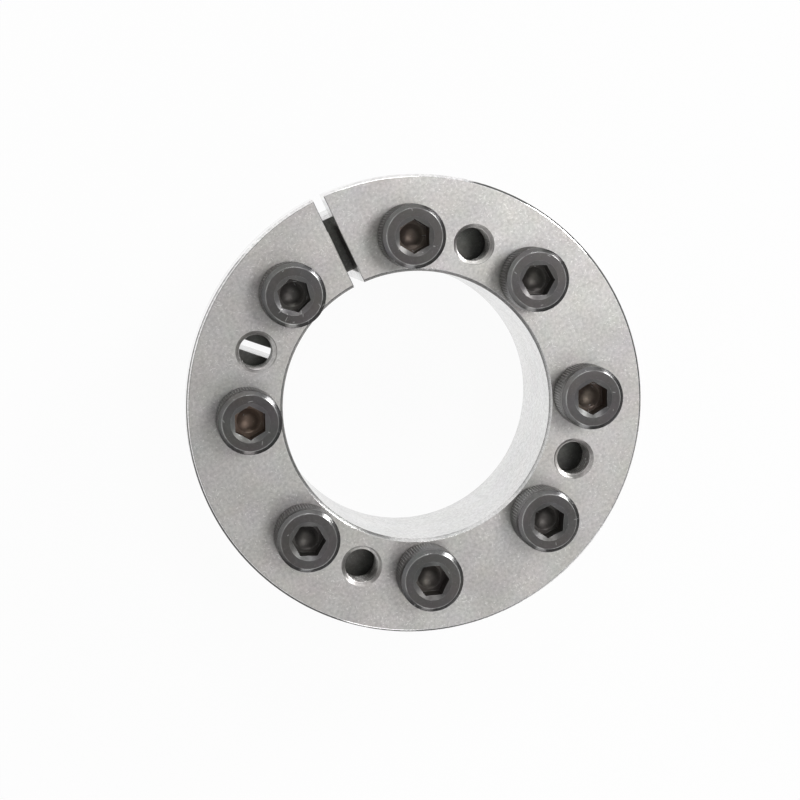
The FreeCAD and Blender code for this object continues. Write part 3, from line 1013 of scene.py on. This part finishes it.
class SCENE_OT_photo_stage(bpy.types.Operator):
    """Sets up the pale floor, the soft lights and the camera"""
    bl_idname = "scene.photo_stage"
    bl_label = "Stage"

    def execute(self, context):
        look = context.scene.stage_look
        # The stage is set out as the photograph sees it, then turned back into the part's own directions
        back = Matrix.Rotation(-look.roll, 4, "Z")
        rise = [(-look.floor_near, 0)]
        for step in range(SWEEP_STEPS + 1):
            angle = math.pi / 2 * step / SWEEP_STEPS
            rise.append((look.floor_far + look.sweep_round * math.sin(angle),
                         look.sweep_round * (1 - math.cos(angle))))
        rise.append((look.floor_far + look.sweep_round, look.sweep_height))
        points = [back @ Vector((across, away, up)) for away, up in rise
                  for across in (-look.floor_left, look.floor_near)]
        faces = [(2 * step, 2 * step + 1, 2 * step + 3, 2 * step + 2) for step in range(len(rise) - 1)]
        floor = new_piece("floor", points, faces)
        floor.location.z = -FLOOR_DROP
        floor.data.polygons.foreach_set("use_smooth", [True] * len(floor.data.polygons))
        floor.data.materials.append(floor_material(look))
        make_world()
        middle = Vector((0, 0, FLANGE_FRONT))
        for name, turn, height, power in LAMPS:
            lean = Matrix.Rotation(-math.radians(height), 4, "Y")
            spot = back @ Matrix.Rotation(math.radians(turn), 4, "Z") @ lean @ Vector((LAMP_REACH, 0, 0))
            add_softbox(name, spot + middle, middle, power)
        data = bpy.data.cameras.new("camera")
        data.lens = look.focal / MM
        data.sensor_width = look.sensor / MM
        data.clip_start = 0.01
        camera = bpy.data.objects.new("camera", data)
        view = Matrix.Translation((look.shift_right, look.shift_up, -look.distance))
        view @= Matrix.Rotation(look.tilt, 4, "X") @ Matrix.Rotation(look.swing, 4, "Y")
        view @= Matrix.Rotation(look.roll, 4, "Z") @ Matrix.Translation((0, 0, -FLANGE_FRONT))
        camera.matrix_world = view.inverted()
        context.scene.collection.objects.link(camera)
        context.scene.camera = camera
        context.scene.view_settings.view_transform = "Standard"
        return {"FINISHED"}


class VIEW3D_PT_locking_assembly(bpy.types.Panel):
    """Lists the sizes, the finish and the pieces of the assembly"""
    bl_idname = "VIEW3D_PT_locking_assembly"
    bl_label = "Locking assembly"
    bl_space_type = "VIEW_3D"
    bl_region_type = "UI"
    bl_category = "Locking assembly"

    def draw(self, context):
        for title, group in GROUPS.items():
            box = self.layout.box()
            box.label(text=group.__doc__)
            for name in group.__annotations__:
                box.prop(getattr(context.scene, title), name)
        for operator in OPERATORS:
            self.layout.operator(operator.bl_idname)


GROUPS = {"ring_sizes": RingSizes, "screw_sizes": ScrewSizes, "assembly_finish": Finish,
          "stage_look": StageLook}
OPERATORS = (MESH_OT_flanged_ring, MESH_OT_tapered_ring, MESH_OT_clamp_screws, SCENE_OT_photo_stage)
CLASSES = (*GROUPS.values(), *OPERATORS, VIEW3D_PT_locking_assembly)


def register():
    for item in CLASSES:
        bpy.utils.register_class(item)
    for name, group in GROUPS.items():
        setattr(bpy.types.Scene, name, bpy.props.PointerProperty(type=group))


def unregister():
    for name in GROUPS:
        delattr(bpy.types.Scene, name)
    for item in reversed(CLASSES):
        bpy.utils.unregister_class(item)


def main():
    register()
    bpy.ops.mesh.flanged_ring()
    bpy.ops.mesh.tapered_ring()
    bpy.ops.mesh.clamp_screws()
    bpy.ops.scene.photo_stage()


if __name__ == "__main__":
    main()
